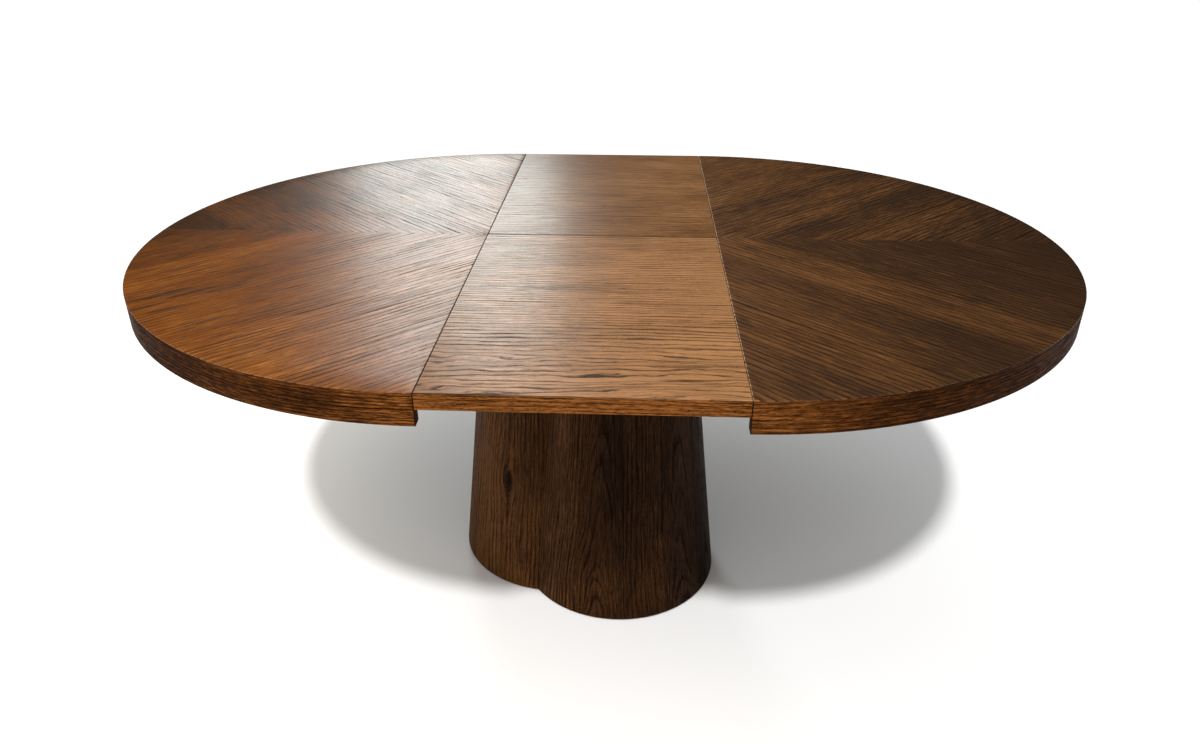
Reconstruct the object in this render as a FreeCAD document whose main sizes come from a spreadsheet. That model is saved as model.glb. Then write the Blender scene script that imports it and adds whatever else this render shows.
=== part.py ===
"""Extending round dining table on a double drum pedestal.

Two D-shaped oak-veneered halves run apart on hardwood slides geared to each other by a
rack and pinion, and a loose leaf drops in between them.  The pedestal is two tapered
drums that run into one another along an upright valley, standing on nylon glides.

Frame: origin on the floor under the middle of the open top, +X along the length of the
top (the way the halves slide), +Y to the far side, +Z up.  Millimetres.
"""

import FreeCAD
import Part

import math
import os
import re

doc = FreeCAD.newDocument("pedestal_table")
V = FreeCAD.Vector

# ----------------------------------------------------------------------------------
# Driving dimensions
# ----------------------------------------------------------------------------------
DIMS = [
    ("top_height", 762.0),      # floor to the finished top
    ("top_radius", 660.0),      # closed round top, 1320 across
    ("seam_half", 228.5),       # straight edge of each half from the middle, leaf in
    ("leaf_half", 227.7),       # half the leaf's width
    ("core_thick", 26.0),       # panel core
    ("veneer_thick", 1.0),      # face veneer
    ("band_thick", 1.5),        # veneer band round the edge
    ("rim_drop", 53.0),         # full height of the curved edge
    ("skirt_thick", 18.0),      # bent strip under the edge of each half
    ("leaf_rise", 0.2),         # leaf's underside above the runners
    ("rail_y", 200.0),          # fixed rails, front and rear of the middle
    ("rail_w", 36.0),
    ("rail_low", 688.0),
    ("rail_high", 733.0),
    ("rail_half", 352.0),       # half length of a fixed rail
    ("groove_deep", 10.0),
    ("groove_low", 704.6),
    ("groove_high", 720.4),
    ("travel_out", 50.0),       # how far each half pulls out past the leaf
    ("runner_w", 24.0),
    ("runner_low", 690.0),
    ("runner_in", 60.0),        # runner's inner end from the middle
    ("runner_out", 680.0),      # runner's outer end from the middle
    ("side_gap", 0.4),          # slide's running gap
    ("tongue_low", 705.0),
    ("tongue_high", 720.0),
    ("tongue_deep", 9.2),
    ("bearer_in", 80.0),        # cross bearers, from the middle
    ("bearer_out", 140.0),
    ("bearer_half", 262.0),
    ("plate_high", 660.0),      # top of the pedestal
    ("top_plate_thick", 22.0),
    ("drum_foot_rad", 217.0),   # drum's outer radius on the floor
    ("drum_taper", 0.1116),     # radius lost per unit of height
    ("drum_wall", 16.0),
    ("drum_low", 4.0),          # lower edge of the drums
    ("drum_off", 84.2),         # each drum's axis from the valley between them
    ("drum_turn", -30.2),       # line through both axes, from the length of the top
    ("drum_mid_x", -31.0),      # middle of the pair under the top
    ("drum_mid_y", -7.0),
    ("foot_plate_low", 12.0),
    ("foot_plate_thick", 22.0),
    ("rib_low", 330.0),
    ("rib_thick", 18.0),
    ("glide_rad", 16.0),
    ("glide_ring", 160.0),
    ("ballast_thick", 12.0),
    ("pin_rad", 4.0),           # alignment dowels
    ("pin_z", 748.2),
    ("pin_out", 11.0),
    ("pin_in", 20.0),
    ("pinion_teeth", 18.0),
    ("gear_module", 2.5),
    ("pivot_rad", 5.0),
    ("lock_y", 430.0),
    ("lock_reach", 52.0),       # lock's pivot to its keeper's post
    ("lock_inset", 30.0),       # pivot from the edge it serves
    ("post_rad", 4.0),
]

sheet = doc.addObject("Spreadsheet::Sheet", "Dims")
for i, (alias, value) in enumerate(DIMS):
    cell = "B%d" % (i + 1)
    sheet.set("A%d" % (i + 1), alias)
    sheet.set(cell, repr(value))
    sheet.setAlias(cell, alias)
doc.recompute()

ALIASES = sorted((a for a, _ in DIMS), key=len, reverse=True)
PATTERN = re.compile(r"\b(" + "|".join(ALIASES) + r")\b")
VALUE = dict(DIMS)


def bound(text):
    """An expression in the sheet's names, as the document writes it."""
    return PATTERN.sub(r"Dims.\1", str(text))


def val(text):
    """The same expression's number, for shapes that are set from code."""
    total = 0.0
    obj = doc.addObject("App::FeaturePython", "probe")
    obj.addProperty("App::PropertyFloat", "result")
    obj.setExpression("result", bound(text))
    doc.recompute()
    total = float(obj.result)
    doc.removeObject(obj.Name)
    return total


count = [0]


def fresh(kind, name=None):
    count[0] += 1
    return doc.addObject(kind, name or "g%03d" % count[0])


def place(obj, x, y, z, axis=None, angle=0.0):
    if axis is not None:
        obj.Placement = FreeCAD.Placement(V(0, 0, 0), FreeCAD.Rotation(V(*axis), angle))
    obj.setExpression("Placement.Base.x", bound(x))
    obj.setExpression("Placement.Base.y", bound(y))
    obj.setExpression("Placement.Base.z", bound(z))
    return obj


def box(x0, x1, y0, y1, z0, z1):
    b = fresh("Part::Box")
    b.setExpression("Length", bound("(%s) - (%s)" % (x1, x0)))
    b.setExpression("Width", bound("(%s) - (%s)" % (y1, y0)))
    b.setExpression("Height", bound("(%s) - (%s)" % (z1, z0)))
    return place(b, x0, y0, z0)


def cyl(x, y, z0, z1, r):
    """Upright cylinder."""
    c = fresh("Part::Cylinder")
    c.setExpression("Radius", bound(r))
    c.setExpression("Height", bound("(%s) - (%s)" % (z1, z0)))
    return place(c, x, y, z0)


def xcyl(x0, x1, y, z, r):
    """Cylinder lying along +X."""
    c = fresh("Part::Cylinder")
    c.setExpression("Radius", bound(r))
    c.setExpression("Height", bound("(%s) - (%s)" % (x1, x0)))
    return place(c, x0, y, z, (0, 1, 0), 90.0)


def cone(x, y, z0, z1, r0, r1):
    c = fresh("Part::Cone")
    c.setExpression("Radius1", bound(r0))
    c.setExpression("Radius2", bound(r1))
    c.setExpression("Height", bound("(%s) - (%s)" % (z1, z0)))
    return place(c, x, y, z0)


def sector(x, z0, z1, r, start, sweep):
    """Slice of an upright cylinder, from start degrees, sweep degrees round."""
    c = fresh("Part::Cylinder")
    c.setExpression("Radius", bound(r))
    c.setExpression("Height", bound("(%s) - (%s)" % (z1, z0)))
    c.Angle = sweep
    return place(c, x, "0", z0, (0, 0, 1), start)


def fuse(*items):
    f = fresh("Part::MultiFuse")
    f.Shapes = list(items)
    return f


def cut(base, *tools):
    c = fresh("Part::Cut")
    c.Base = base
    c.Tool = tools[0] if len(tools) == 1 else fuse(*tools)
    return c


def common(a, b):
    c = fresh("Part::Common")
    c.Base, c.Tool = a, b
    return c


def group(*items):
    """Separate solids kept as one piece-group."""
    c = fresh("Part::Compound")
    c.Links = list(items)
    return c


NODES = []


def node(obj, label):
    obj.Label = label
    NODES.append(obj)
    return obj


def profile_body(points, length, x0):
    """A padded section: points are (y, z) in the sheet's names, padded along +X from x0."""
    body = fresh("PartDesign::Body")
    sk = body.newObject("Sketcher::SketchObject", body.Name + "_section")
    plane = [o for o in body.Origin.OriginFeatures if o.Role == "YZ_Plane"][0]
    sk.AttachmentSupport = [(plane, "")]
    sk.MapMode = "FlatFace"
    import Sketcher
    xy = [(val(a), val(b)) for a, b in points]
    n = len(xy)
    for i in range(n):
        a, b = xy[i], xy[(i + 1) % n]
        sk.addGeometry(Part.LineSegment(V(a[0], a[1], 0), V(b[0], b[1], 0)), False)
    for i in range(n):
        sk.addConstraint(Sketcher.Constraint("Coincident", i, 2, (i + 1) % n, 1))
    for i, (a, b) in enumerate(points):
        k = sk.addConstraint(Sketcher.Constraint("DistanceX", -1, 1, i, 1, xy[i][0]))
        sk.setExpression("Constraints[%d]" % k, bound(a))
        k = sk.addConstraint(Sketcher.Constraint("DistanceY", -1, 1, i, 1, xy[i][1]))
        sk.setExpression("Constraints[%d]" % k, bound(b))
    doc.recompute()
    pad = body.newObject("PartDesign::Pad", body.Name + "_pad")
    pad.Profile = sk
    pad.setExpression("Length", bound(length))
    body.setExpression("Placement.Base.x", bound(x0))
    doc.recompute()
    return body


# Heights that several pieces share
UNDER = "top_height - veneer_thick - core_thick"        # underside of the halves
CORE_TOP = "top_height - veneer_thick"
SKIRT_LOW = "top_height - rim_drop"

# ----------------------------------------------------------------------------------
# The two halves of the top
# ----------------------------------------------------------------------------------
RUNNER_SCREW_X = ("650", "460", "270")
RACK_SCREW_X = ("400", "290")


def screw(x, y, head_z, tip_z, shank_r, head_r, head_h, up=True):
    """Wood screw: a head and a shank that points up or down."""
    if up:
        return fuse(cyl(x, y, "%s - %s" % (head_z, head_h), head_z, head_r),
                    cyl(x, y, head_z, "(%s) - 3" % tip_z, shank_r),
                    cone(x, y, "(%s) - 3" % tip_z, tip_z, shank_r, "0.4"))
    return fuse(cyl(x, y, head_z, "%s + %s" % (head_z, head_h), head_r),
                cyl(x, y, "(%s) + 3" % tip_z, head_z, shank_r),
                cone(x, y, tip_z, "(%s) + 3" % tip_z, "0.4", shank_r))


def half(side):
    """side is -1 for the left half and +1 for the right one."""
    s = "left" if side < 0 else "right"
    seam = "%d * seam_half" % side
    start = 90.0 if side < 0 else -90.0
    pins = ("-470", "0", "470") if side < 0 else ("-300", "300")
    sockets = ("-300", "300") if side < 0 else ("-470", "0", "470")

    def span(a, b):
        """An x range given from the middle outwards, as low and high."""
        return ("%d * (%s)" % (side, b), "%d * (%s)" % (side, a)) if side < 0 else (a, b)

    # rail side: the left half's runners run outside the fixed rails, the right half's inside
    def runner_y(rear):
        if side < 0:
            near = "rail_y + rail_w / 2 + side_gap"
            far = near + " + runner_w"
            tongue = ("rail_y + rail_w / 2 + side_gap - tongue_deep", near)
        else:
            far = "rail_y - rail_w / 2 - side_gap"
            near = far + " - runner_w"
            tongue = (far, far + " + tongue_deep")
        if rear:
            return (near, far), tongue
        return ("-(%s)" % far, "-(%s)" % near), ("-(%s)" % tongue[1], "-(%s)" % tongue[0])

    # ---- core panel with its dowel holes and screw pilots
    core = sector(seam, UNDER, CORE_TOP, "top_radius - band_thick", start, 180.0)
    holes = []
    for y in pins:
        a, b = span("seam_half - 1", "seam_half + pin_in + 0.5")
        holes.append(xcyl(a, b, y, "pin_z", "pin_rad + 0.05"))
    for y in sockets:
        a, b = span("seam_half - 1", "seam_half + pin_out + 3")
        holes.append(xcyl(a, b, y, "pin_z", "pin_rad + 0.6"))
    for rear in (False, True):
        (y0, y1), _ = runner_y(rear)
        for x in RUNNER_SCREW_X:
            holes.append(cyl("%d * %s" % (side, x), "((%s) + (%s)) / 2" % (y0, y1),
                             UNDER + " - 1", "%s + 20.5" % UNDER, "2.55"))
    rack_screw_y = "%d * 33" % side
    for x in RACK_SCREW_X:
        holes.append(cyl("%d * %s" % (side, x), rack_screw_y, UNDER + " - 1",
                         "%s + 16.5" % UNDER, "2.05"))
    lock_holes = []
    for y in ("-lock_y", "lock_y"):
        if side < 0:
            for dx in ("seam_half + 9", "seam_half + 32"):
                lock_holes.append(("-(%s)" % dx, y))
        else:
            for dx in ("seam_half + 9", "seam_half + 51"):
                lock_holes.append((dx, y))
    for x, y in lock_holes:
        holes.append(cyl(x, y, UNDER + " - 1", "%s + 14.5" % UNDER, "1.55"))
    node(cut(core, *holes), s + "_top_panel")

    # ---- face veneer in two matched sheets, edge band and bent skirt
    quarter = {"rear": (90.0 if side < 0 else 0.0), "front": (180.0 if side < 0 else -90.0)}
    for q, ang in quarter.items():
        node(sector(seam, CORE_TOP, "top_height", "top_radius", ang, 90.0),
             "%s_%s_veneer" % (s, q))
    node(cut(sector(seam, SKIRT_LOW, CORE_TOP, "top_radius", start, 180.0),
             cyl(seam, "0", SKIRT_LOW + " - 5", "top_height + 5", "top_radius - band_thick")),
         s + "_edge_band")
    node(cut(sector(seam, SKIRT_LOW, UNDER, "top_radius - band_thick", start, 180.0),
             cyl(seam, "0", SKIRT_LOW + " - 5", "top_height", "top_radius - band_thick - skirt_thick")),
         s + "_skirt")

    # ---- runners: a bar with a shorter tongue that stays inside the rail's groove
    screws = []
    for rear in (False, True):
        (y0, y1), (t0, t1) = runner_y(rear)
        a, b = span("runner_in", "runner_out")
        bar = box(a, b, y0, y1, "runner_low", UNDER)
        a, b = span("runner_in", "rail_half - travel_out - 0.4")
        tongue = box(a, b, t0, t1, "tongue_low", "tongue_high")
        bores = []
        for x in RUNNER_SCREW_X:
            xx, yy = "%d * %s" % (side, x), "((%s) + (%s)) / 2" % (y0, y1)
            bores.append(cyl(xx, yy, "runner_low - 1", UNDER + " + 1", "2.6"))
            bores.append(cyl(xx, yy, "runner_low - 1", "runner_low + 16", "5.3"))
            screws.append(screw(xx, yy, "runner_low + 16", UNDER + " + 20", "2.5", "4.8", "3.5"))
        node(cut(fuse(bar, tongue), *bores), "%s_%s_runner" % (s, "rear" if rear else "front"))
    node(group(*screws), s + "_runner_screws")

    # ---- alignment dowels
    dowels = []
    for y in pins:
        if side < 0:
            dowels.append(fuse(
                xcyl("-seam_half - pin_in", "-seam_half + pin_out - 3", y, "pin_z", "pin_rad"),
                place_cone_x("-seam_half + pin_out - 3", y, "pin_z", "pin_rad", "pin_rad - 1.5", "3", 1)))
        else:
            dowels.append(fuse(
                xcyl("seam_half - pin_out + 3", "seam_half + pin_in", y, "pin_z", "pin_rad"),
                place_cone_x("seam_half - pin_out + 3", y, "pin_z", "pin_rad", "pin_rad - 1.5", "3", -1)))
    node(group(*dowels), s + "_alignment_dowels")
    return lock_holes


def place_cone_x(x, y, z, r0, r1, length, way):
    """Tapered dowel tip lying along +X or -X."""
    c = fresh("Part::Cone")
    c.setExpression("Radius1", bound(r0))
    c.setExpression("Radius2", bound(r1))
    c.setExpression("Height", bound(length))
    return place(c, x, y, z, (0, 1, 0), 90.0 * way)


LOCK_HOLES = {}
LOCK_HOLES["left"] = half(-1)
LOCK_HOLES["right"] = half(+1)

# ----------------------------------------------------------------------------------
# The loose leaf
# ----------------------------------------------------------------------------------
LEAF_LOW = UNDER + " + leaf_rise"
leaf_core = box("-leaf_half", "leaf_half", "-top_radius + band_thick", "top_radius - band_thick",
                LEAF_LOW, CORE_TOP)
slots = []
for y in ("-470", "0", "470"):      # open below, so the leaf drops over the dowels
    slots.append(box("-leaf_half - 1", "-leaf_half + pin_out + 2", "%s - pin_rad - 0.6" % y,
                     "%s + pin_rad + 0.6" % y, LEAF_LOW + " - 1", "pin_z + pin_rad + 0.6"))
for y in ("-300", "300"):
    slots.append(box("leaf_half - pin_out - 2", "leaf_half + 1", "%s - pin_rad - 0.6" % y,
                     "%s + pin_rad + 0.6" % y, LEAF_LOW + " - 1", "pin_z + pin_rad + 0.6"))
leaf_lock_holes = []
for y in ("-lock_y", "lock_y"):
    for x in ("-leaf_half + 9", "-leaf_half + 51", "leaf_half - 9", "leaf_half - 32"):
        leaf_lock_holes.append((x, y))
for x, y in leaf_lock_holes:
    slots.append(cyl(x, y, LEAF_LOW + " - 1", "%s + 14.5" % LEAF_LOW, "1.55"))
node(cut(leaf_core, *slots), "leaf_panel")
node(box("-leaf_half", "leaf_half", "-top_radius", "0", CORE_TOP, "top_height"), "leaf_front_veneer")
node(box("-leaf_half", "leaf_half", "0", "top_radius", CORE_TOP, "top_height"), "leaf_rear_veneer")
node(box("-leaf_half", "leaf_half", "-top_radius", "-top_radius + band_thick", LEAF_LOW, CORE_TOP),
     "leaf_front_edge_band")
node(box("-leaf_half", "leaf_half", "top_radius - band_thick", "top_radius", LEAF_LOW, CORE_TOP),
     "leaf_rear_edge_band")

# ----------------------------------------------------------------------------------
# Locks under the two seams: a plate with a pivot, a swinging hook, and a keeper's post
# ----------------------------------------------------------------------------------


def lock_plate(px, y, low):
    """Plate above a pivot that hangs from it; px is the pivot."""
    plate = box("%s - 27" % px, "%s + 27" % px, "%s - 14" % y, "%s + 14" % y, low + " - 3", low)
    pivot = cyl(px, y, low + " - 12", low + " - 3", "3")
    washer = cyl(px, y, low + " - 13.5", low + " - 12", "5.5")
    collar = cyl(px, y, low + " - 6", low + " - 3", "6")
    bores = [cyl("%s %s 21" % (px, w), y, low + " - 4", low + " + 1", "1.7") for w in ("-", "+")]
    return cut(fuse(plate, pivot, washer, collar), *bores)


def lock_hook(px, y, low, rear):
    """Hook at rest along the seam, pointing to the middle; its mouth faces the seam it crosses."""
    w = -1 if rear else 1
    top, bot = low + " - 6.5", low + " - 11.5"

    def yspan(a, b):
        return ("%s + %s" % (y, a), "%s + %s" % (y, b)) if not rear else \
            ("%s - (%s)" % (y, b), "%s - (%s)" % (y, a))

    def yat(a):
        return "%s %s %s" % (y, "+" if not rear else "-", a)

    arm = fuse(box("%s - 11" % px, "%s + 11" % px, *yspan("0", "lock_reach + 3"), bot, top),
               cyl(px, y, bot, top, "11"),
               cyl(px, yat("(lock_reach + 3)"), bot, top, "11"),
               box("%s - 6" % px, "%s + 6" % px, *yspan("-30", "0"), bot, top),
               cyl(px, yat("(-30)"), bot, top, "6"),
               cyl(px, yat("(-30)"), bot + " - 9", bot, "5"))
    mouth = fuse(box("%s - 30" % px, px, *yspan("lock_reach - post_rad - 2.6", "lock_reach + post_rad + 1.4"),
                     bot + " - 1", top + " + 1"),
                 cyl(px, yat("lock_reach"), bot + " - 1", top + " + 1", "post_rad + 1.4"))
    bore = cyl(px, y, bot + " - 1", top + " + 1", "3.05")
    return cut(arm, mouth, bore)


def keeper(px, y, low):
    """Keeper plate with its post; px is the post."""
    plate = box("%s - 16.5" % px, "%s + 16.5" % px, "%s - 14" % y, "%s + 14" % y, low + " - 3", low)
    post = cyl(px, y, low + " - 12.5", low + " - 3", "post_rad")
    bores = [cyl("%s %s 11.5" % (px, w), y, low + " - 4", low + " + 1", "1.7") for w in ("-", "+")]
    return cut(fuse(plate, post), *bores)


def lock_screws(points, low):
    return group(*[screw(x, y, low + " - 3", low + " + 14", "1.5", "2.8", "1.6") for x, y in points])


RIGHT_PIVOT = "(seam_half + lock_inset)"
LEAF_PIVOT = "(-leaf_half + lock_inset)"
LEAF_POST = "(leaf_half - 20.5)"
LEFT_POST = "(-seam_half - 20.5)"
node(group(lock_plate(RIGHT_PIVOT, "-lock_y", UNDER), lock_plate(RIGHT_PIVOT, "lock_y", UNDER)),
     "right_lock_plates")
node(lock_hook(RIGHT_PIVOT, "-lock_y", UNDER, False), "right_front_lock_hook")
node(lock_hook(RIGHT_PIVOT, "lock_y", UNDER, True), "right_rear_lock_hook")
node(lock_screws(LOCK_HOLES["right"], UNDER), "right_lock_screws")
node(group(lock_plate(LEAF_PIVOT, "-lock_y", LEAF_LOW), lock_plate(LEAF_PIVOT, "lock_y", LEAF_LOW)),
     "leaf_lock_plates")
node(lock_hook(LEAF_PIVOT, "-lock_y", LEAF_LOW, False), "leaf_front_lock_hook")
node(lock_hook(LEAF_PIVOT, "lock_y", LEAF_LOW, True), "leaf_rear_lock_hook")
node(group(keeper(LEAF_POST, "-lock_y", LEAF_LOW), keeper(LEAF_POST, "lock_y", LEAF_LOW)), "leaf_keepers")
node(lock_screws(leaf_lock_holes, LEAF_LOW), "leaf_lock_screws")
node(group(keeper(LEFT_POST, "-lock_y", UNDER), keeper(LEFT_POST, "lock_y", UNDER)), "left_keepers")
node(lock_screws(LOCK_HOLES["left"], UNDER), "left_keeper_screws")

# ----------------------------------------------------------------------------------
# Equalising gear: a pinion on the pedestal between a rack on each half
# ----------------------------------------------------------------------------------
MODULE, TEETH = val("gear_module"), int(val("pinion_teeth"))
PITCH_R = MODULE * TEETH / 2
PITCH = math.pi * MODULE
PRESSURE = math.radians(20)
BACKLASH = 0.25                     # taken off each flank pair
GEAR_LOW, GEAR_HIGH = 719.0, 731.0
RACK_LOW, RACK_HIGH = 717.0, val(UNDER)


def involute_pinion():
    """Spur pinion with a tooth on -Y and one on +Y."""
    base_r = PITCH_R * math.cos(PRESSURE)
    tip_r = PITCH_R + MODULE * 0.95
    root_r = PITCH_R - MODULE * 1.25

    def inv(r):
        t = math.sqrt(max((r / base_r) ** 2 - 1, 0.0))
        return t - math.atan(t)

    half_tooth = math.pi / (2 * TEETH) - BACKLASH / 2 / PITCH_R
    pts = []
    radii = [max(base_r, root_r) + (tip_r - max(base_r, root_r)) * k / 6.0 for k in range(7)]
    inv_p = inv(PITCH_R)
    for k in range(TEETH):
        mid = -math.pi / 2 + 2 * math.pi * k / TEETH
        left, right = [], []
        for r in radii:
            a = half_tooth + inv_p - inv(r)
            left.append((r, mid - a))
            right.append((r, mid + a))
        root_a = half_tooth + inv_p
        ring = [(root_r, mid - root_a)] + left + right[::-1] + [(root_r, mid + root_a)]
        pts += [(r * math.cos(a), r * math.sin(a)) for r, a in ring]
    wire = Part.makePolygon([V(x, y, GEAR_LOW) for x, y in pts + pts[:1]])
    solid = Part.Face(wire).extrude(V(0, 0, GEAR_HIGH - GEAR_LOW))
    bore = Part.makeCylinder(val("pivot_rad + 0.05"), 40, V(0, 0, GEAR_LOW - 10))
    return solid.cut(bore)


def rack(side):
    """Toothed bar under one half; its teeth face the pinion, with a gap at the middle."""
    add, ded = MODULE * 0.95, MODULE * 1.25
    tan = math.tan(PRESSURE)
    inner, outer = 70.0, 430.0
    first, last = -int(inner // PITCH), int(265.0 // PITCH)
    pts = []
    # drawn for the left half: pitch line at y = -PITCH_R, teeth towards +Y
    half_w = PITCH / 4 - BACKLASH / 2
    prof = []
    k = -last
    while k <= -first - 1:
        mid = (k + 0.5) * PITCH
        prof += [(mid - half_w - ded * tan, -PITCH_R - ded), (mid - half_w + add * tan, -PITCH_R + add),
                 (mid + half_w - add * tan, -PITCH_R + add), (mid + half_w + ded * tan, -PITCH_R - ded)]
        k += 1
    pts = [(-outer, -40.0), (inner, -40.0), (inner, -PITCH_R - ded)] + prof[::-1] + [(-outer, -PITCH_R - ded)]
    if side > 0:
        pts = [(-x, -y) for x, y in pts]
    wire = Part.makePolygon([V(x, y, RACK_LOW) for x, y in pts + pts[:1]])
    solid = Part.Face(wire).extrude(V(0, 0, RACK_HIGH - RACK_LOW))
    for x in RACK_SCREW_X:
        at = (side * float(x), side * 33.0)
        solid = solid.cut(Part.makeCylinder(2.1, 60, V(at[0], at[1], RACK_LOW - 5)))
        solid = solid.cut(Part.makeCylinder(4.4, 5 + 6, V(at[0], at[1], RACK_LOW - 5)))
    return solid


pinion = fresh("Part::Feature")
pinion.Shape = involute_pinion()
node(pinion, "pinion_gear")
for side, s in ((-1, "left"), (1, "right")):
    r = fresh("Part::Feature")
    r.Shape = rack(side)
    node(r, s + "_rack")
    node(group(*[screw("%d * %s" % (side, x), "%d * 33" % side, "723", UNDER + " + 16", "2", "4", "3")
                 for x in RACK_SCREW_X]), s + "_rack_screws")
block = box("-30", "30", "-30", "30", "plate_high", "714")
node(cut(block, cyl("0", "0", "690", "720", "pivot_rad + 0.02")), "pinion_block")
node(fuse(cyl("0", "0", "690", "731.6", "pivot_rad"), cyl("0", "0", "731.4", "733.6", "8")), "pinion_pin")
node(cut(cyl("0", "0", "714", "718.8", "13"), cyl("0", "0", "710", "725", "pivot_rad + 0.3")), "thrust_washer")

# ----------------------------------------------------------------------------------
# Fixed rails and the bearers that carry them
# ----------------------------------------------------------------------------------
rail_holes = {-1: [], 1: []}
rail_screw_items, bearer_bores = [], {-1: [], 1: []}
for sy in (-1, 1):
    for sx in (-1, 1):
        x, y = "%d * (bearer_in + bearer_out) / 2" % sx, "%d * rail_y" % sy
        rail_holes[sy] += [cyl(x, y, "rail_low - 1", "rail_high + 1", "3.1"),
                           cyl(x, y, "rail_high - 22", "rail_high + 1", "5.6")]
        bearer_bores[sx].append(cyl(x, y, "rail_low - 21", "rail_low + 1", "3.05"))
        rail_screw_items.append(screw(x, y, "rail_high - 22", "rail_low - 20", "3", "5.2", "4", up=False))
for sy, name in ((-1, "front_rail"), (1, "rear_rail")):
    c = "%d * rail_y" % sy
    a, b = c + " - rail_w / 2", c + " + rail_w / 2"
    section = [(a, "rail_low"), (b, "rail_low"), (b, "groove_low"), (b + " - groove_deep", "groove_low"),
               (b + " - groove_deep", "groove_high"), (b, "groove_high"), (b, "rail_high"), (a, "rail_high"),
               (a, "groove_high"), (a + " + groove_deep", "groove_high"), (a + " + groove_deep", "groove_low"),
               (a, "groove_low")]
    node(cut(profile_body(section, "2 * rail_half", "-rail_half"), *rail_holes[sy]), name)
node(group(*rail_screw_items), "rail_screws")
stops = []
for sy in (-1, 1):
    for sx in (-1, 1):
        c = "%d * rail_y" % sy
        x0, x1 = ("rail_half", "rail_half + 4") if sx > 0 else ("-rail_half - 4", "-rail_half")
        stops.append(box(x0, x1, c + " - rail_w / 2", c + " + rail_w / 2", "groove_low - 8", "groove_high + 8"))
node(group(*stops), "rail_end_stops")

BOLT_AT = {1: [("110", "-120"), ("110", "20")], -1: [("-110", "120"), ("-110", "-40")]}
bolts, plate_bores = [], []
for sx, name in ((-1, "left_bearer"), (1, "right_bearer")):
    x0, x1 = ("bearer_in", "bearer_out") if sx > 0 else ("-bearer_out", "-bearer_in")
    bores = list(bearer_bores[sx])
    for x, y in BOLT_AT[sx]:
        bores += [cyl(x, y, "plate_high - 1", "rail_low + 1", "4.2"),
                  cyl(x, y, "rail_low - 8", "rail_low + 1", "8")]
        plate_bores.append(cyl(x, y, "plate_high - top_plate_thick - 1", "plate_high + 1", "4.1"))
        bolts.append(fuse(cyl(x, y, "rail_low - 8", "rail_low - 1.5", "7"),
                          cyl(x, y, "plate_high - top_plate_thick + 1", "rail_low - 8", "4")))
    node(cut(box(x0, x1, "-bearer_half", "bearer_half", "plate_high", "rail_low"), *bores), name)
node(group(*bolts), "bearer_bolts")

# ----------------------------------------------------------------------------------
# The double drum pedestal
# ----------------------------------------------------------------------------------
TURN = val("drum_turn")


def axis_at(side):
    """Where a drum's axis stands: side is +1 for the front drum and -1 for the rear one."""
    return ("(drum_mid_x + %d * drum_off * cos(drum_turn))" % side,
            "(drum_mid_y + %d * drum_off * sin(drum_turn))" % side)


MIDDLE = V(val("drum_mid_x"), val("drum_mid_y"), 0)


def drum_rad(z, inset="0"):
    return "drum_foot_rad - drum_taper * (%s) - (%s)" % (z, inset)


def drum(side, label):
    """A tapered drum, cut off upright where it runs into the other one."""
    x, y = axis_at(side)
    outer = cone(x, y, "drum_low", "plate_high", drum_rad("drum_low"), drum_rad("plate_high"))
    inner = cone(x, y, "drum_low - 10", "plate_high + 10", drum_rad("drum_low - 10", "drum_wall"),
                 drum_rad("plate_high + 10", "drum_wall"))
    keep = fresh("Part::Box")
    keep.Length, keep.Width, keep.Height = 500, 800, 900
    ang = TURN if side > 0 else TURN + 180.0
    rot = FreeCAD.Rotation(V(0, 0, 1), ang)
    keep.Placement = FreeCAD.Placement(rot.multVec(V(0, -400, 0)) + MIDDLE + V(0, 0, -50), rot)
    return node(common(cut(outer, inner), keep), label)


def drum_board(low, thick, label, bores=(), holes=()):
    """A board that fills the pedestal from wall to wall at one height."""
    parts = []
    for side in (1, -1):
        parts.append(cone(*axis_at(side), low, "%s + %s" % (low, thick),
                          drum_rad(low, "drum_wall + 0.4"),
                          drum_rad("%s + %s" % (low, thick), "drum_wall + 0.4")))
    body = fuse(*parts)
    tools = list(bores) + list(holes)
    return node(cut(body, *tools) if tools else body, label)


drum(+1, "front_drum")
drum(-1, "rear_drum")

glide_at = []
for side in (1, -1):
    for turn in (0.0, 90.0, -90.0):
        a = math.radians(TURN + turn)
        x, y = axis_at(side)
        glide_at.append(("%s + glide_ring * %.9f" % (x, side * math.cos(a)),
                         "%s + glide_ring * %.9f" % (y, side * math.sin(a))))
ballast_at = [(sx * 170.0, sy * 70.0) for sx in (-1, 1) for sy in (-1, 1)]
spin = FreeCAD.Rotation(V(0, 0, 1), TURN)
ballast_at = [spin.multVec(V(a, b, 0)) + MIDDLE for a, b in ballast_at]
BALLAST_LOW = "(foot_plate_low + foot_plate_thick)"
BALLAST_TOP = "(foot_plate_low + foot_plate_thick + ballast_thick)"
foot_bores = [cyl(x, y, "foot_plate_low - 1", "foot_plate_low + 18.5", "2.05") for x, y in glide_at]
foot_bores += [cyl("%.6f" % p.x, "%.6f" % p.y, "foot_plate_low + 1", BALLAST_TOP + " + 1", "3.05")
               for p in ballast_at]
drum_board("foot_plate_low", "foot_plate_thick", "base_foot_plate", foot_bores)
drum_board("rib_low", "rib_thick", "base_middle_rib",
           holes=[cyl(*axis_at(side), "rib_low - 1", "rib_low + rib_thick + 1", "60") for side in (1, -1)])
drum_board("plate_high - top_plate_thick", "top_plate_thick", "base_top_plate", plate_bores)

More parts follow.
